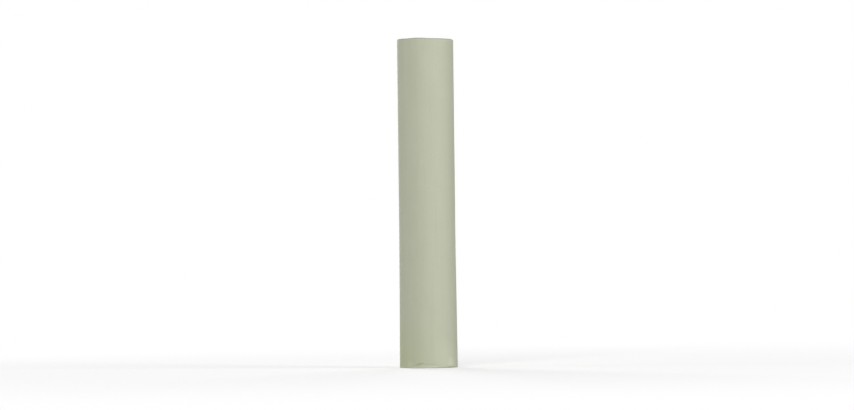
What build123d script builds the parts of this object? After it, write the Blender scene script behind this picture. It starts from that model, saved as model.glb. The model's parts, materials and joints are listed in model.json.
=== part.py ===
from build123d import *
import math
import os

# A round soft pastel stick: one pressed piece of pigment and chalk, standing on one of its cut ends.
# Millimetres, +Z up. The origin is the middle of the foot, on the surface that the stick stands on.
# The front of the stick is -Y.

# Barrel
stick_length = 70.0  # from cut end to cut end
stick_diameter = 12.0

# Both ends are cut flat and square. The rim of the top is worn soft, and the rim of the foot is crisp.
top_edge_radius = 0.3
foot_edge_radius = 0.1

# The barrel widens a little towards the foot, where the stick was pressed down as it was cut
foot_spread = 0.18  # how far the foot stands out past the barrel, on the radius
foot_spread_height = 26.0  # where the widening starts, above the foot

# Shallow crescent pressed into the front, just above the rim of the foot
dent_width = 6.0  # from tip to tip
dent_height = 0.54
dent_depth = 0.085
dent_level = 0.68  # middle of the crescent, above the foot
dent_droop = 20.0  # degrees that its ring is tipped, which turns the tips down
dent_lean = 3.0  # degrees that it falls to the right
dent_bearing = 4.0  # degrees that it sits to the right of the front

# Small nick that slants across the left end of the crescent
nick_height = 0.56
nick_depth = 0.15
nick_level = 0.71  # middle of the nick, above the foot
nick_slant = 18.0  # degrees that it climbs to the right
nick_bearing = -20.0  # degrees that it sits to the right of the front

barrel_radius = stick_diameter / 2
foot_radius = barrel_radius + foot_spread


def bite_radius(height, depth):
    """Radius of the round tool that leaves a bite this tall and deep."""
    return (height / 2) ** 2 / (2 * depth) + depth / 2


# The crescent is the bite of a tipped ring that lies round the foot and reaches in only at its front.
# Over half the crescent's width the ring draws away from the foot by the depth of the bite: the wider
# the crescent, the more closely the ring follows the foot.
tube_radius = bite_radius(dent_height, dent_depth)
tube_distance = foot_radius - dent_depth + tube_radius  # of the tube's middle from the stick's
slackness = 2 * dent_depth * foot_radius**2 / (tube_distance * (dent_width / 2) ** 2)
ring_radius = tube_distance * math.cos(math.radians(dent_droop)) / (1 - slackness)
ring_front = Rot(Z=dent_bearing) * Pos(0, -tube_distance, dent_level)
ring_place = ring_front * Rot(Y=dent_lean) * Rot(X=-dent_droop) * Pos(0, ring_radius, 0)

# The nick is the bite of a straight round bar
bar_radius = bite_radius(nick_height, nick_depth)
bar_distance = foot_radius - nick_depth + bar_radius  # of the bar's middle from the stick's
bar_length = foot_radius
bar_place = Rot(Z=nick_bearing) * Pos(0, -bar_distance, nick_level) * Rot(Y=90 - nick_slant)

with BuildPart() as pastel_stick:
    # Half of the stick's section, from the middle line out to the side
    with BuildSketch(Plane.XZ) as section:
        with BuildLine():
            Polyline(
                (0, 0),
                (foot_radius, 0),
                (barrel_radius, foot_spread_height),
                (barrel_radius, stick_length),
                (0, stick_length),
                close=True,
            )
        make_face()
        foot_rim = section.vertices().sort_by(Axis.X)[-1]
        fillet(foot_rim, foot_edge_radius)
        top_rim = section.vertices().group_by(Axis.Y)[-1].sort_by(Axis.X)[-1]
        fillet(top_rim, top_edge_radius)
    revolve(axis=Axis.Z)

    with Locations(ring_place):
        Torus(ring_radius, tube_radius, mode=Mode.SUBTRACT)
    with Locations(bar_place):
        Cylinder(bar_radius, bar_length, mode=Mode.SUBTRACT)

pastel_stick.part.label = "pastel_stick"

os.makedirs("parts", exist_ok=True)
export_step(pastel_stick.part, "parts/pastel_stick.step")
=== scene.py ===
import json
import math
import random

import bpy
import numpy as np
from mathutils import Matrix, Vector, noise


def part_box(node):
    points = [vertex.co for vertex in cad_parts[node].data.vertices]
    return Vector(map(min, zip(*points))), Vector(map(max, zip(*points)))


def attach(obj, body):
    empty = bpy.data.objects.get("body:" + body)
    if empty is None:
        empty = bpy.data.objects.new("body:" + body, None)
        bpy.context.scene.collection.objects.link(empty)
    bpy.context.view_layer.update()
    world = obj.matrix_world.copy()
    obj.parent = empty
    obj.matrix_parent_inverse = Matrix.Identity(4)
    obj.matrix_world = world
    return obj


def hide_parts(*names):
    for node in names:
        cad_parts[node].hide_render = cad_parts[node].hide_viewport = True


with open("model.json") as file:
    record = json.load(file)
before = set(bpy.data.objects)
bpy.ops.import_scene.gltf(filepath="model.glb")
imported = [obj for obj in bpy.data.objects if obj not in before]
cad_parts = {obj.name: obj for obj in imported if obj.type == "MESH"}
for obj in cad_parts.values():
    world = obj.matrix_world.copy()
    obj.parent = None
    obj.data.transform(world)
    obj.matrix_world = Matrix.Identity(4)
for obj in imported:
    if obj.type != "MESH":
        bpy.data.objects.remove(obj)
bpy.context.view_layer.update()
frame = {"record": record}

# The looks of a round soft pastel stick that stands on its foot, seen level from the front.
# Metres, +Z up, front -Y. The stick is one piece: a dense mesh that follows the CAD solid and lies just
# inside it, with the small unevenness of a pressed and cut stick of chalk.

MM = 0.001

# ---------------------------------------------------------------------------------------------------------
# Sizes of the CAD solid
# ---------------------------------------------------------------------------------------------------------

NODE = "pastel_stick"
low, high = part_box(NODE)
barrel_mount = next(m for m in frame["record"]["mounts"] if m["name"] == "barrel")

FOOT_Z = low.z
TOP_Z = high.z
BARREL_RADIUS = barrel_mount["dims"]["r_mm"] * MM
BARREL_LENGTH = barrel_mount["dims"]["length_mm"] * MM
BARREL_LOW = barrel_mount["pos_m"][2] - BARREL_LENGTH / 2
BARREL_HIGH = barrel_mount["pos_m"][2] + BARREL_LENGTH / 2
FOOT_RADIUS = (high.x - low.x) / 2
TOP_EDGE = TOP_Z - BARREL_HIGH
FOOT_EDGE = 0.1 * MM

# Bearings are degrees to the right of the front, round the stick's middle line.
# The crescent pressed into the front of the foot is the bite of a tipped ring that lies round it.
DENT_WIDTH = 6.0 * MM
DENT_HEIGHT = 0.54 * MM
DENT_DEPTH = 0.085 * MM
DENT_LEVEL = FOOT_Z + 0.68 * MM
DENT_DROOP = 20
DENT_LEAN = 3
DENT_BEARING = 4

# The nick across the left end of the crescent is the bite of a straight bar
NICK_HEIGHT = 0.56 * MM
NICK_DEPTH = 0.15 * MM
NICK_LEVEL = FOOT_Z + 0.71 * MM
NICK_SLANT = 18
NICK_BEARING = -20

# ---------------------------------------------------------------------------------------------------------
# Places and patterns on the stick
# ---------------------------------------------------------------------------------------------------------

SEED = 11


def spot(bearing, out, level):
    """The point at that bearing, that far from the stick's middle line, at that height."""
    turn = math.radians(bearing)
    return (out * math.sin(turn), -out * math.cos(turn), level)


def facing(points, bearing):
    """1 on the side of the stick that faces that bearing, falling to 0 on the side behind."""
    towards = np.array(spot(bearing, 1, 0)[:2])
    across = np.maximum(np.linalg.norm(points[:, :2], axis=1), MM)
    return 0.5 + 0.5 * points[:, :2] @ towards / across


def fading(distance, full, end):
    """1 up to the distance full, falling to 0 at the distance end."""
    return np.clip((end - distance) / (end - full), 0, 1)


def bowl(points, centre, radius):
    """1 at the centre of a round hollow, falling smoothly to 0 at its edge."""
    near = np.clip(1 - ((points - np.array(centre)) ** 2).sum(1) / radius**2, 0, 1)
    return near**2


def field(points, size, stretch=1.0, shift=0.0):
    """Smooth noise of about -1 to 1 at each point, with lumps of that size, longer along Z by stretch.
    Each field has a shift of its own, so that no two of them are alike."""
    step = Vector((1 / size, 1 / size, 1 / (size * stretch)))
    start = Vector((shift, SEED + shift, 2 * shift))
    return np.array([noise.noise(Vector(p) * step + start) for p in points])


# ---------------------------------------------------------------------------------------------------------
# Unevenness and small hollows
# ---------------------------------------------------------------------------------------------------------

# Mean depth of each kind of unevenness, and the size of its lumps
PRESS_DEPTH = 0.012 * MM
PRESS_SIZE = 9 * MM
DRAG_DEPTH = 0.005 * MM
DRAG_SIZE = 0.9 * MM
DRAG_STRETCH = 40
GRIT_DEPTH = 0.004 * MM
GRIT_SIZE = 0.5 * MM
WIRE_DEPTH = 0.018 * MM
WIRE_SIZE = 0.55 * MM
WIRE_SQUEEZE = 0.12  # the points are drawn together along X by this, which draws the wire's lines out
CUT_DEPTH = 0.012 * MM
CUT_SIZE = 1.4 * MM


def unevenness(points, cap):
    """How far the surface lies inside the CAD solid. cap is 1 on the cut ends and 0 on the side."""
    # The pressed stick, drag lines along its side, and the grain of the chalk
    depth = PRESS_DEPTH * (1 + field(points, PRESS_SIZE))
    depth += (1 - cap) * DRAG_DEPTH * (1 + field(points, DRAG_SIZE, stretch=DRAG_STRETCH, shift=3))
    depth += GRIT_DEPTH * (1 + field(points, GRIT_SIZE, shift=5))

    # The cut ends are rougher: the wire left shallow lines across them
    squeezed = points * np.array((WIRE_SQUEEZE, 1, 1))
    depth += cap * WIRE_DEPTH * (1 + field(squeezed, WIRE_SIZE, shift=7))
    depth += cap * CUT_DEPTH * (1 + field(points, CUT_SIZE, shift=9))
    return depth


# Small hollows where a grain fell out, in the side and in each cut end: how many there are, the least and
# most of their radius and depth, and how dark the painted shade in them shows
SIDE_HOLLOWS = 46
SIDE_HOLLOW_RADIUS = (0.35 * MM, 0.6 * MM)
SIDE_HOLLOW_DEPTH = (0.008 * MM, 0.025 * MM)
SIDE_HOLLOW_SHADE = 0.2
END_HOLLOWS = 34
END_HOLLOW_RADIUS = (0.25 * MM, 0.5 * MM)
END_HOLLOW_DEPTH = (0.02 * MM, 0.06 * MM)
END_HOLLOW_SHADE = 0.6
END_HOLLOW_AREA = 0.8  # share of each end, from its middle out, that has hollows


def small_hollows(points, rng):
    """How deep the small hollows lie at each point, and how dark the painted shade in them is there."""
    depth = np.zeros(len(points))
    painted_shade = np.zeros(len(points))
    for _ in range(SIDE_HOLLOWS):
        centre = spot(rng.uniform(0, 360), BARREL_RADIUS, rng.uniform(FOOT_Z, TOP_Z))
        dip = bowl(points, centre, rng.uniform(*SIDE_HOLLOW_RADIUS))
        depth += rng.uniform(*SIDE_HOLLOW_DEPTH) * dip
        painted_shade = np.maximum(painted_shade, SIDE_HOLLOW_SHADE * dip)
    for level in (FOOT_Z, TOP_Z):
        for _ in range(END_HOLLOWS):
            bearing = rng.uniform(0, 360)
            out = BARREL_RADIUS * math.sqrt(rng.uniform(0, END_HOLLOW_AREA))
            dip = bowl(points, spot(bearing, out, level), rng.uniform(*END_HOLLOW_RADIUS))
            depth += rng.uniform(*END_HOLLOW_DEPTH) * dip
            painted_shade = np.maximum(painted_shade, END_HOLLOW_SHADE * dip)
    return depth, painted_shade


# ---------------------------------------------------------------------------------------------------------
# Bites out of the surface: the crescent, the nick, and the chips along the rims
# ---------------------------------------------------------------------------------------------------------


def bite_radius(height, depth):
    """Radius of the round tool that leaves a bite this tall and deep."""
    return (height / 2) ** 2 / (2 * depth) + depth / 2


def cleared(points, away, radius):
    """Each point pushed straight away from the middle of a round tool until it is clear of the tool, and
    how far it went. away leads to the point from the nearest place on a bar's or a ring's middle line, or
    from the middle of a ball."""
    push = away * np.maximum(0, radius / np.linalg.norm(away, axis=1) - 1)[:, None]
    return points + push, np.linalg.norm(push, axis=1)


def bar_bite(points, radius, middle, along):
    """The bite of a straight round bar that runs through middle in the direction along, which is 1 long."""
    from_middle = points - np.array(middle)
    along = np.array(along)
    return cleared(points, from_middle - np.outer(from_middle @ along, along), radius)


def turned(axis, degrees):
    """The turn by that many degrees about one axis."""
    return Matrix.Rotation(math.radians(degrees), 3, axis)


def crescent(points):
    """The bite of the tipped ring. Over half the crescent's width the ring draws away from the foot by the
    depth of the bite, which gives the ring its radius."""
    tube = bite_radius(DENT_HEIGHT, DENT_DEPTH)
    tube_away = FOOT_RADIUS - DENT_DEPTH + tube
    slackness = 2 * DENT_DEPTH * FOOT_RADIUS**2 / (tube_away * (DENT_WIDTH / 2) ** 2)
    ring = tube_away * math.cos(math.radians(DENT_DROOP)) / (1 - slackness)
    tip = turned("Z", DENT_BEARING) @ turned("Y", DENT_LEAN) @ turned("X", -DENT_DROOP)
    middle = np.array(Vector(spot(DENT_BEARING, tube_away, DENT_LEVEL)) + tip @ Vector((0, ring, 0)))
    up = np.array(tip @ Vector((0, 0, 1)))
    from_middle = points - middle
    across = from_middle - np.outer(from_middle @ up, up)
    nearest = across * (ring / np.linalg.norm(across, axis=1))[:, None]
    return cleared(points, from_middle - nearest, tube)


def nick(points):
    """The bite of the bar across the left end of the crescent."""
    bar = bite_radius(NICK_HEIGHT, NICK_DEPTH)
    slant = math.radians(NICK_SLANT)
    middle = spot(NICK_BEARING, FOOT_RADIUS - NICK_DEPTH + bar, NICK_LEVEL)
    along = spot(NICK_BEARING + 90, math.cos(slant), math.sin(slant))
    return bar_bite(points, bar, middle, along)


# Chips take a rim off aslant: a step of 1 across them goes this far out and this far up or down
DIAGONAL = math.sqrt(0.5)

# The foot's right corner has lost its edge: (bearing, how far up and how far in)
CORNER_CHIPS = ((50, 0.30 * MM), (26, 0.17 * MM))
CHIP_BAR = 3.0 * MM  # radius of the bar that bites a chip off the rim

# Small shells broken off both rims, at the sides and the back, each the bite of a ball
RIM_CHIPS = 11  # on each rim
RIM_CHIP_BEARINGS = (85, 275)
RIM_CHIP_BALL = (0.5 * MM, 1.4 * MM)  # least and most radius of the ball
RIM_CHIP_REACH = (0.08 * MM, 0.20 * MM)  # how far the ball comes in past the corner of the rim


def corner_chip(points, bearing, reach):
    away = (CHIP_BAR - reach * DIAGONAL) * DIAGONAL
    middle = spot(bearing, FOOT_RADIUS + away, FOOT_Z - away)
    return bar_bite(points, CHIP_BAR, middle, spot(bearing + 90, 1, 0))


def rim_chip(points, rng, level, radius, up):
    """One chip off the rim at that level and radius. up is 1 at the top and -1 at the foot."""
    bearing = rng.uniform(*RIM_CHIP_BEARINGS)
    ball = rng.uniform(*RIM_CHIP_BALL)
    away = (ball - rng.uniform(*RIM_CHIP_REACH)) * DIAGONAL
    middle = spot(bearing, radius + away, level + up * away)
    return cleared(points, points - np.array(middle), ball)


def chips(points, rng):
    """The points with all chips taken off, and how far the deepest chip at each of them goes."""
    chipped = np.zeros(len(points))
    for bearing, reach in CORNER_CHIPS:
        points, depth = corner_chip(points, bearing, reach)
        chipped = np.maximum(chipped, depth)
    for level, radius, up in ((FOOT_Z, FOOT_RADIUS, -1), (TOP_Z, BARREL_RADIUS, 1)):
        for _ in range(RIM_CHIPS):
            points, depth = rim_chip(points, rng, level, radius, up)
            chipped = np.maximum(chipped, depth)
    return points, chipped


# ---------------------------------------------------------------------------------------------------------
# Powder, and painted light: highlight near the foot, warm shade low on the left, shade along the top's rim
# ---------------------------------------------------------------------------------------------------------

# Pale spots on the side. Those near the foot are painted highlight, the one high up is a pale fleck of
# powder: (bearing, height above the foot, radius, how much)
POWDER_AND_HIGHLIGHT_SPOTS = (
    (50, 1.2 * MM, 2.1 * MM, 1.0),
    (44, 2.5 * MM, 4.5 * MM, 0.35),
    (-40, 0.85 * MM, 1.1 * MM, 0.45),
    (-11, 43.5 * MM, 0.55 * MM, 0.50),
)
CHIP_PALE = 0.04 * MM  # where a chip is at least this deep, it is all pale with powder

# Painted highlight along the rim of the foot, most at the left, and painted warm shade, yellower, on the
# lower left side. Each is full up to one height above the foot and ends at the other.
LIP_HIGHLIGHT_FULL = 0.12 * MM
LIP_HIGHLIGHT_END = 0.42 * MM
LIP_HIGHLIGHT_BEARING = -60
WARM_SHADE_FULL = 3 * MM
WARM_SHADE_END = 12 * MM
WARM_SHADE_BEARING = -90

CRESCENT_SHADE = 0.6  # painted shade in the crescent: how dark it shows, where the nick is 1


def powder_and_highlight_on(points, side, in_nick):
    powder_and_highlight = np.zeros(len(points))
    for bearing, height, radius, amount in POWDER_AND_HIGHLIGHT_SPOTS:
        pale_spot = bowl(points, spot(bearing, FOOT_RADIUS, FOOT_Z + height), radius)
        powder_and_highlight = np.maximum(powder_and_highlight, amount * pale_spot)
    # Painted highlight: the rim of the foot paler, most at the left
    lip_highlight = fading(points[:, 2] - FOOT_Z, LIP_HIGHLIGHT_FULL, LIP_HIGHLIGHT_END) * (1 - in_nick)
    off_the_end = np.clip(3 * side, 0, 1)
    round_front = np.clip(2 * facing(points, LIP_HIGHLIGHT_BEARING) - 0.5, 0, 1)
    return np.maximum(powder_and_highlight, lip_highlight * off_the_end * round_front)


def warm_shade_on(points, in_nick):
    """Painted warm shade: yellower on the lower left side and in the nick."""
    painted_warm_shade = fading(points[:, 2] - FOOT_Z, WARM_SHADE_FULL, WARM_SHADE_END) * facing(points, WARM_SHADE_BEARING) ** 2
    return np.maximum(painted_warm_shade, in_nick)


def rim_shade_on(points, cap, side):
    """Painted shade: darker and greyer along the rounded rim of the top."""
    rim = np.clip(4 * cap * side, 0, 1)
    return np.where(points[:, 2] > TOP_Z / 2, rim, 0)


def wear_and_painted_light(points, outward):
    """Each point of the CAD solid's surface moved in to the worn one, and the marks that the material
    shows there: powder, and painted highlight and shade."""
    rng = random.Random(SEED)
    cap = np.abs(outward[:, 2])
    side = 1 - cap
    hollow_depth, painted_hollow_shade = small_hollows(points, rng)
    depth = unevenness(points, cap) + hollow_depth
    moved, crescent_depth = crescent(points - outward * depth[:, None])
    moved, nick_depth = nick(moved)
    moved, chipped = chips(moved, rng)

    # Painted shade in the nick and the crescent: darker there, and the nick warmer too
    in_nick = np.clip(nick_depth / NICK_DEPTH, 0, 1)
    crescent_painted_shade = CRESCENT_SHADE * crescent_depth / DENT_DEPTH
    marks = {
        "powder_and_highlight": np.maximum(powder_and_highlight_on(points, side, in_nick), np.clip(chipped / CHIP_PALE, 0, 1)),
        "painted_hollow_shade": np.maximum(painted_hollow_shade, np.maximum(in_nick, crescent_painted_shade)),
        "painted_rim_shade": rim_shade_on(points, cap, side),
        "painted_warm_shade": warm_shade_on(points, in_nick),
        "cut": cap,
    }
    return moved, marks


# ---------------------------------------------------------------------------------------------------------
# The stick's mesh
# ---------------------------------------------------------------------------------------------------------

AROUND = 320  # vertices in each ring
CAP_RINGS = 36
EDGE_RINGS = 8
FOOT_STEP = 0.09 * MM  # between rings beside the crescent
FOOT_STEP_TOP = FOOT_Z + 2.0 * MM  # the fine rings end here
BARREL_STEP = 0.4 * MM

TOP_FALL = 0.14 * MM  # how much lower the top is at its right than at its left
TOP_FALL_HEIGHT = 5 * MM  # the barrel's rings take it up over this length
TOP_RISE = 0.09 * MM  # how far the top's rim stands up at its highest place
TOP_RISE_BEARING = -17
TOP_RISE_REACH = 3.0 * MM


def section():
    """Half of the stick's section, from the middle of the foot to the middle of the top, as one row of
    (radius, height, outward radius part, outward height part) for each ring of vertices."""
    rows = []
    foot_flat = FOOT_RADIUS - FOOT_EDGE
    top_flat = BARREL_RADIUS - TOP_EDGE
    for i in range(1, CAP_RINGS):
        rows.append((foot_flat * i / CAP_RINGS, FOOT_Z, 0.0, -1.0))
    for i in range(EDGE_RINGS + 1):
        turn = math.pi / 2 * i / EDGE_RINGS
        out = math.sin(turn)
        down = math.cos(turn)
        rows.append((foot_flat + FOOT_EDGE * out, FOOT_Z + FOOT_EDGE * (1 - down), out, -down))
    spread_low = FOOT_Z + FOOT_EDGE
    z = spread_low
    while True:
        z += FOOT_STEP if z < FOOT_STEP_TOP else BARREL_STEP
        if z > BARREL_HIGH - BARREL_STEP / 2:
            break
        left = max(0.0, (BARREL_LOW - z) / (BARREL_LOW - spread_low))
        rows.append((BARREL_RADIUS + (FOOT_RADIUS - BARREL_RADIUS) * left, z, 1.0, 0.0))
    for i in range(EDGE_RINGS + 1):
        turn = math.pi / 2 * i / EDGE_RINGS
        out = math.cos(turn)
        up = math.sin(turn)
        rows.append((top_flat + TOP_EDGE * out, BARREL_HIGH + TOP_EDGE * up, out, up))
    for i in range(CAP_RINGS - 1, 0, -1):
        rows.append((top_flat * i / CAP_RINGS, TOP_Z, 0.0, 1.0))
    return np.array(rows)


def rings(radial, axial):
    """A ring of vectors round the stick's middle line for each pair of a radial and an axial part."""
    turns = 2 * math.pi * np.arange(AROUND) / AROUND
    x = np.outer(radial, np.sin(turns)).ravel()
    y = np.outer(radial, np.cos(turns)).ravel()
    return np.stack([x, y, np.repeat(axial, AROUND)], axis=1)


def top_drop(points):
    """How far the uneven cut of the top lies below a level one."""
    near_top = fading(TOP_Z - points[:, 2], 0, TOP_FALL_HEIGHT)
    fall = TOP_FALL * (0.5 + 0.5 * points[:, 0] / BARREL_RADIUS)
    highest = spot(TOP_RISE_BEARING, BARREL_RADIUS, TOP_Z)
    return near_top * (fall + TOP_RISE * (1 - bowl(points, highest, TOP_RISE_REACH)))


def stick_faces(ring_count):
    """Quads between the rings, and a fan of triangles round the middle of each end. The middles of the
    foot and of the top are the two vertices after the rings."""
    foot_middle = ring_count * AROUND
    top_middle = foot_middle + 1
    last = (ring_count - 1) * AROUND
    faces = []
    for i in range(AROUND):
        j = (i + 1) % AROUND
        faces.append((foot_middle, i, j))
        faces.append((top_middle, last + j, last + i))
        for ring in range(0, last, AROUND):
            above = ring + AROUND
            faces.append((ring + i, above + i, above + j, ring + j))
    return faces


def make_stick():
    rows = section()
    points = np.vstack([rings(rows[:, 0], rows[:, 1]), [(0, 0, FOOT_Z), (0, 0, TOP_Z)]])
    outward = np.vstack([rings(rows[:, 2], rows[:, 3]), [(0, 0, -1), (0, 0, 1)]])
    moved, marks = wear_and_painted_light(points, outward)
    moved[:, 2] -= top_drop(points)

    mesh = bpy.data.meshes.new("pastel_body")
    mesh.from_pydata(moved.tolist(), [], stick_faces(len(rows)))
    mesh.validate()
    for name, values in marks.items():
        mesh.attributes.new(name, "FLOAT", "POINT").data.foreach_set("value", values)
    mesh.shade_smooth()
    stick = bpy.data.objects.new("pastel_body", mesh)
    bpy.context.scene.collection.objects.link(stick)
    return stick


# ---------------------------------------------------------------------------------------------------------
# Nodes of the materials and of the world
# ---------------------------------------------------------------------------------------------------------


class Nodes:
    """Short calls for the nodes of one tree."""

    def __init__(self, tree):
        self.tree = tree

    def add(self, kind, **settings):
        node = self.tree.nodes.new(kind)
        for name, value in settings.items():
            setattr(node, name, value)
        return node

    def link(self, output, socket):
        self.tree.links.new(output, socket)

    def place(self):
        """Where a point lies on its own object."""
        return self.add("ShaderNodeTexCoord").outputs["Object"]

    def noise(self, size, detail=2.0, stretch=1.0):
        """Noise with lumps of that size, longer along Z by stretch."""
        mapping = self.add("ShaderNodeMapping")
        mapping.inputs["Scale"].default_value = (1, 1, 1 / stretch)
        self.link(self.place(), mapping.inputs["Vector"])
        node = self.add("ShaderNodeTexNoise")
        node.inputs["Scale"].default_value = 1 / size
        node.inputs["Detail"].default_value = detail
        self.link(mapping.outputs["Vector"], node.inputs["Vector"])
        return node.outputs["Fac"]

    def ramp(self, value, low, high):
        """Value carried from 0..1 to low..high."""
        node = self.add("ShaderNodeMapRange")
        node.inputs["To Min"].default_value = low
        node.inputs["To Max"].default_value = high
        self.link(value, node.inputs["Value"])
        return node.outputs["Result"]

    def window(self, value, start, end, top=1.0, curve="LINEAR"):
        """0 at start and top at end, and the same beyond them. start can be the greater of the two."""
        node = self.add("ShaderNodeMapRange", interpolation_type=curve)
        node.inputs["From Min"].default_value = start
        node.inputs["From Max"].default_value = end
        node.inputs["To Max"].default_value = top
        self.link(value, node.inputs["Value"])
        return node.outputs["Result"]

    def attribute(self, name):
        """One of the marks, powder and painted light and shade among them, that the stick's mesh carries.
        """
        return self.add("ShaderNodeAttribute", attribute_name=name).outputs["Fac"]

    def math(self, operation, a, b):
        node = self.add("ShaderNodeMath", operation=operation)
        for socket, value in zip(node.inputs, (a, b)):
            if isinstance(value, float):
                socket.default_value = value
            else:
                self.link(value, socket)
        return node.outputs["Value"]

    def red(self, colour):
        """The red part of a colour."""
        node = self.add("ShaderNodeSeparateColor")
        self.link(colour, node.inputs["Color"])
        return node.outputs["Red"]

    def mix(self, share, a, b):
        """Colour a, turning to colour b as share goes to 1."""
        node = self.add("ShaderNodeMix", data_type="RGBA")
        self.link(share, node.inputs["Factor"])
        for socket, colour in ((node.inputs["A"], a), (node.inputs["B"], b)):
            if isinstance(colour, tuple):
                socket.default_value = colour
            else:
                self.link(colour, socket)
        return node.outputs["Result"]

    def bump(self, height, distance, under=None):
        """Relief that stands up by distance where height is 1, over the relief under it."""
        node = self.add("ShaderNodeBump")
        node.inputs["Distance"].default_value = distance
        self.link(height, node.inputs["Height"])
        if under is not None:
            self.link(under, node.inputs["Normal"])
        return node.outputs["Normal"]

    def seen(self):
        """1 for rays from the camera, and for those mirrored or let through to it, and 0 for the rest."""
        path = self.add("ShaderNodeLightPath")
        share = path.outputs["Is Camera Ray"]
        for name in ("Is Glossy Ray", "Is Transmission Ray"):
            share = self.math("MAXIMUM", share, path.outputs[name])
        return share


# ---------------------------------------------------------------------------------------------------------
# The pastel's material
# ---------------------------------------------------------------------------------------------------------

SAGE = (0.540, 0.566, 0.432, 1)
SAGE_PALE = (0.600, 0.632, 0.505, 1)
SAGE_DEEP = (0.430, 0.462, 0.335, 1)
SAGE_WARM_SHADE = (0.530, 0.562, 0.375, 1)
CHALK_AND_HIGHLIGHT = (0.680, 0.706, 0.525, 1)
RIM_SHADE_GREY = (0.360, 0.372, 0.330, 1)

CLOUD_SIZE = 5 * MM
STREAK_SIZE = 0.8 * MM
STREAK_STRETCH = 30
GRAIN_SIZE = 0.15 * MM
PALE_GRAIN_SIZE = 0.30 * MM

# How far each mark turns the colour where it is full: painted shade in hollows, powder with painted
# highlight, painted shade along the top's rim, and painted shade in pores
HOLLOW_SHADE_SHARE = 0.65
POWDER_AND_HIGHLIGHT_SHARE = 0.70
RIM_SHADE_SHARE = 0.70
PORE_SHADE_SHARE = 0.30

# Each cell of a fine pattern has a random number of 0 to 1. A cell holds one pore where its number is
# above the one given here for the side or for the cut ends.
PORE_CELL = 0.32 * MM
PORES_ON_SIDE = 0.93
PORES_ON_CUT = 0.72
PORE_RAGGED = 0.9  # how much the grain tells in where a pore's edge lies

RELIEF_SIZE = 0.9 * MM
RELIEF_STRETCH = 2
RELIEF_HEIGHT = 0.03 * MM
GRAIN_HEIGHT = 0.03 * MM
PORE_DEPTH = 0.02 * MM


def chalk_colour(n, grain):
    """Cloudy mixing of chalk and pigment, faint streaks along the stick, and single grains."""
    clouds = n.noise(CLOUD_SIZE, detail=3)
    streaks = n.noise(STREAK_SIZE, stretch=STREAK_STRETCH)
    pale_grains = n.noise(PALE_GRAIN_SIZE, detail=1)
    colour = n.mix(n.window(clouds, start=0.35, end=0.75, top=0.22), SAGE, SAGE_PALE)
    colour = n.mix(n.window(streaks, start=0.45, end=0.75, top=0.12), colour, SAGE_DEEP)
    colour = n.mix(n.window(grain, start=0.50, end=0.75, top=0.20), colour, SAGE_DEEP)
    return n.mix(n.window(pale_grains, start=0.62, end=0.72, top=0.35), colour, SAGE_PALE)


def colour_with_painted_light(n, colour):
    """Painted warm shade, painted shade in hollows, powder with painted highlight, and painted shade along
    the top's rim, over the chalk's colour.
    """
    # Painted warm shade: yellower on the lower left side and in the nick
    colour = n.mix(n.attribute("painted_warm_shade"), colour, SAGE_WARM_SHADE)
    # Painted shade: darker in the small hollows, the crescent and the nick
    colour = n.mix(n.math("MULTIPLY", n.attribute("painted_hollow_shade"), HOLLOW_SHADE_SHARE), colour, SAGE_DEEP)
    # Powder, and painted highlight near the foot: paler there
    colour = n.mix(n.math("MULTIPLY", n.attribute("powder_and_highlight"), POWDER_AND_HIGHLIGHT_SHARE), colour, CHALK_AND_HIGHLIGHT)
    # Painted shade along the rounded rim of the top: darker and greyer there
    return n.mix(n.math("MULTIPLY", n.attribute("painted_rim_shade"), RIM_SHADE_SHARE), colour, RIM_SHADE_GREY)


def pores(n, grain):
    """1 in a pore and 0 round it. The cut ends have more of them than the side."""
    cells = n.add("ShaderNodeTexVoronoi")
    cells.inputs["Scale"].default_value = 1 / PORE_CELL
    n.link(n.place(), cells.inputs["Vector"])
    least = n.ramp(n.attribute("cut"), PORES_ON_SIDE, PORES_ON_CUT)
    chosen = n.math("GREATER_THAN", n.red(cells.outputs["Color"]), least)
    from_middle = n.math("ADD", cells.outputs["Distance"], n.math("MULTIPLY", grain, PORE_RAGGED))
    return n.math("MULTIPLY", n.window(from_middle, start=0.66, end=0.50), chosen)


def pastel_material():
    material = bpy.data.materials.new("soft_pastel")
    material.use_nodes = True
    n = Nodes(material.node_tree)
    shader = n.tree.nodes["Principled BSDF"]

    grain = n.noise(GRAIN_SIZE, detail=4)
    pore = pores(n, grain)
    colour = colour_with_painted_light(n, chalk_colour(n, grain))
    # Painted shade: darker in the pores
    colour = n.mix(n.math("MULTIPLY", pore, PORE_SHADE_SHARE), colour, SAGE_DEEP)
    n.link(colour, shader.inputs["Base Color"])

    # Dry chalk has no gloss, and spreads light evenly
    n.link(n.ramp(grain, low=0.82, high=1.0), shader.inputs["Roughness"])
    shader.inputs["Specular IOR Level"].default_value = 0.2
    shader.inputs["Diffuse Roughness"].default_value = 0.1

    # Relief: pores and fine grain over a softer unevenness
    soft = n.bump(n.noise(RELIEF_SIZE, stretch=RELIEF_STRETCH), RELIEF_HEIGHT)
    fine = n.bump(grain, GRAIN_HEIGHT, under=soft)
    open_pores = n.bump(n.math("SUBTRACT", 1.0, pore), PORE_DEPTH, under=fine)
    n.link(open_pores, shader.inputs["Normal"])
    return material


# ---------------------------------------------------------------------------------------------------------
# Stage: white floor that keeps the shadow, white surroundings, soft lamps, camera
# ---------------------------------------------------------------------------------------------------------

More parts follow.
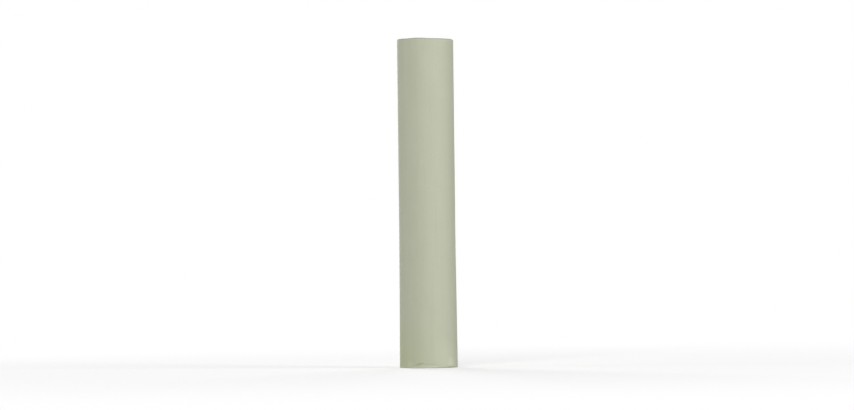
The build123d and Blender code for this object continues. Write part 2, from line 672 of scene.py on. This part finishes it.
FLOOR_SIZE = 3.0
FLOOR_DROP = 0.01 * MM  # the floor lies this far under the foot
FLOOR_TONE = 0.30  # what the floor gives back to the stick of the light on it
SEEN_TONE = 0.75  # what it gives back to the camera, for a clear shadow
FLOOR_GLOW = 0.33  # added where the camera looks, to bring the floor near the stick up to white
NEAR_FLOOR = 0.06  # up to here from the stick, the camera sees that floor and the shadow on it
FAR_FLOOR = 0.25  # from here on it sees plain white


def floor_material():
    material = bpy.data.materials.new("white_floor")
    material.use_nodes = True
    n = Nodes(material.node_tree)
    n.tree.nodes.clear()
    seen = n.seen()

    # Near the stick: the light that the floor gives back, and the glow
    diffuse = n.add("ShaderNodeBsdfDiffuse")
    n.link(n.ramp(seen, FLOOR_TONE, SEEN_TONE), diffuse.inputs["Color"])
    glow = n.add("ShaderNodeEmission")
    n.link(n.math("MULTIPLY", seen, FLOOR_GLOW), glow.inputs["Strength"])
    near = n.add("ShaderNodeAddShader")
    n.link(diffuse.outputs["BSDF"], near.inputs[0])
    n.link(glow.outputs["Emission"], near.inputs[1])

    # Far from it: plain white, for the camera only
    away = n.add("ShaderNodeVectorMath", operation="LENGTH")
    n.link(n.place(), away.inputs[0])
    far = n.window(away.outputs["Value"], NEAR_FLOOR, FAR_FLOOR, curve="SMOOTHSTEP")
    white = n.add("ShaderNodeEmission")
    fade = n.add("ShaderNodeMixShader")
    n.link(n.math("MULTIPLY", far, seen), fade.inputs["Fac"])
    n.link(near.outputs["Shader"], fade.inputs[1])
    n.link(white.outputs["Emission"], fade.inputs[2])

    output = n.add("ShaderNodeOutputMaterial")
    n.link(fade.outputs["Shader"], output.inputs["Surface"])
    return material


def make_floor():
    half = FLOOR_SIZE / 2
    z = FOOT_Z - FLOOR_DROP
    corners = [(-half, -half, z), (half, -half, z), (half, half, z), (-half, half, z)]
    mesh = bpy.data.meshes.new("floor")
    mesh.from_pydata(corners, [], [(0, 1, 2, 3)])
    mesh.materials.append(floor_material())
    floor = bpy.data.objects.new("floor", mesh)
    bpy.context.scene.collection.objects.link(floor)
    return floor


WORLD_LIGHT = 0.1  # strength of the even light from all sides


def light_world():
    world = bpy.data.worlds.new("studio")
    bpy.context.scene.world = world
    world.use_nodes = True
    n = Nodes(world.node_tree)
    n.tree.nodes.clear()
    background = n.add("ShaderNodeBackground")
    background.inputs["Color"].default_value = (1, 1, 1, 1)
    n.link(n.ramp(n.seen(), WORLD_LIGHT, 1.0), background.inputs["Strength"])
    output = n.add("ShaderNodeOutputWorld")
    n.link(background.outputs["Background"], output.inputs["Surface"])


# (name, degrees to the right of the camera, degrees above the floor, light that reaches the stick)
LAMPS = (
    ("front_lamp", -14, 15, 1.87),
    ("right_lamp", 63, 15, 1.64),
    ("left_lamp", -90, 15, 0.50),
    ("back_right_lamp", 160, 15, 1.0),
    ("back_left_lamp", -155, 15, 1.9),
    ("top_lamp", 0, 90, 0.45),
)
LAMP_AWAY = 0.75
LAMP_SIZE = 0.36
LAMP_AIM = Vector((0, 0, TOP_Z / 2))


def light_lamps():
    for name, right, above, strength in LAMPS:
        lamp = bpy.data.lights.new(name, "AREA")
        lamp.size = LAMP_SIZE
        lamp.energy = math.pi * LAMP_AWAY**2 * strength
        a = math.radians(right)
        e = math.radians(above)
        towards = Vector((math.sin(a) * math.cos(e), -math.cos(a) * math.cos(e), math.sin(e)))
        holder = bpy.data.objects.new(name, lamp)
        holder.location = LAMP_AIM + towards * LAMP_AWAY
        holder.rotation_euler = towards.to_track_quat("Z", "Y").to_euler()
        holder.visible_camera = False
        bpy.context.scene.collection.objects.link(holder)


CAMERA_AWAY = 0.80  # from the stick's middle line
CAMERA_HEIGHT = 24 * MM
LOOK_HEIGHT = 34.55 * MM  # where the camera's line of sight meets the stick's middle line
CAMERA_ROLL = -0.68  # degrees, so that the stick leans a little to the left
LENS = 158.44  # in millimetres, as the width of the sensor is
SENSOR = 36.0


def make_camera():
    camera = bpy.data.cameras.new("camera")
    camera.lens = LENS
    camera.sensor_width = SENSOR
    holder = bpy.data.objects.new("camera", camera)
    place = Vector((0, -CAMERA_AWAY, CAMERA_HEIGHT))
    sight = Vector((0, 0, LOOK_HEIGHT)) - place
    turn = sight.to_track_quat("-Z", "Y").to_matrix().to_4x4()
    roll = Matrix.Rotation(math.radians(CAMERA_ROLL), 4, "Z")
    holder.matrix_world = Matrix.Translation(place) @ turn @ roll
    bpy.context.scene.collection.objects.link(holder)
    bpy.context.scene.camera = holder


# ---------------------------------------------------------------------------------------------------------
# Putting it together
# ---------------------------------------------------------------------------------------------------------

make_camera()
light_world()
light_lamps()
make_floor()

pastel = make_stick()
pastel.data.materials.append(pastel_material())
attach(pastel, "root")
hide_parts(NODE)

bpy.context.scene.view_settings.view_transform = "Standard"
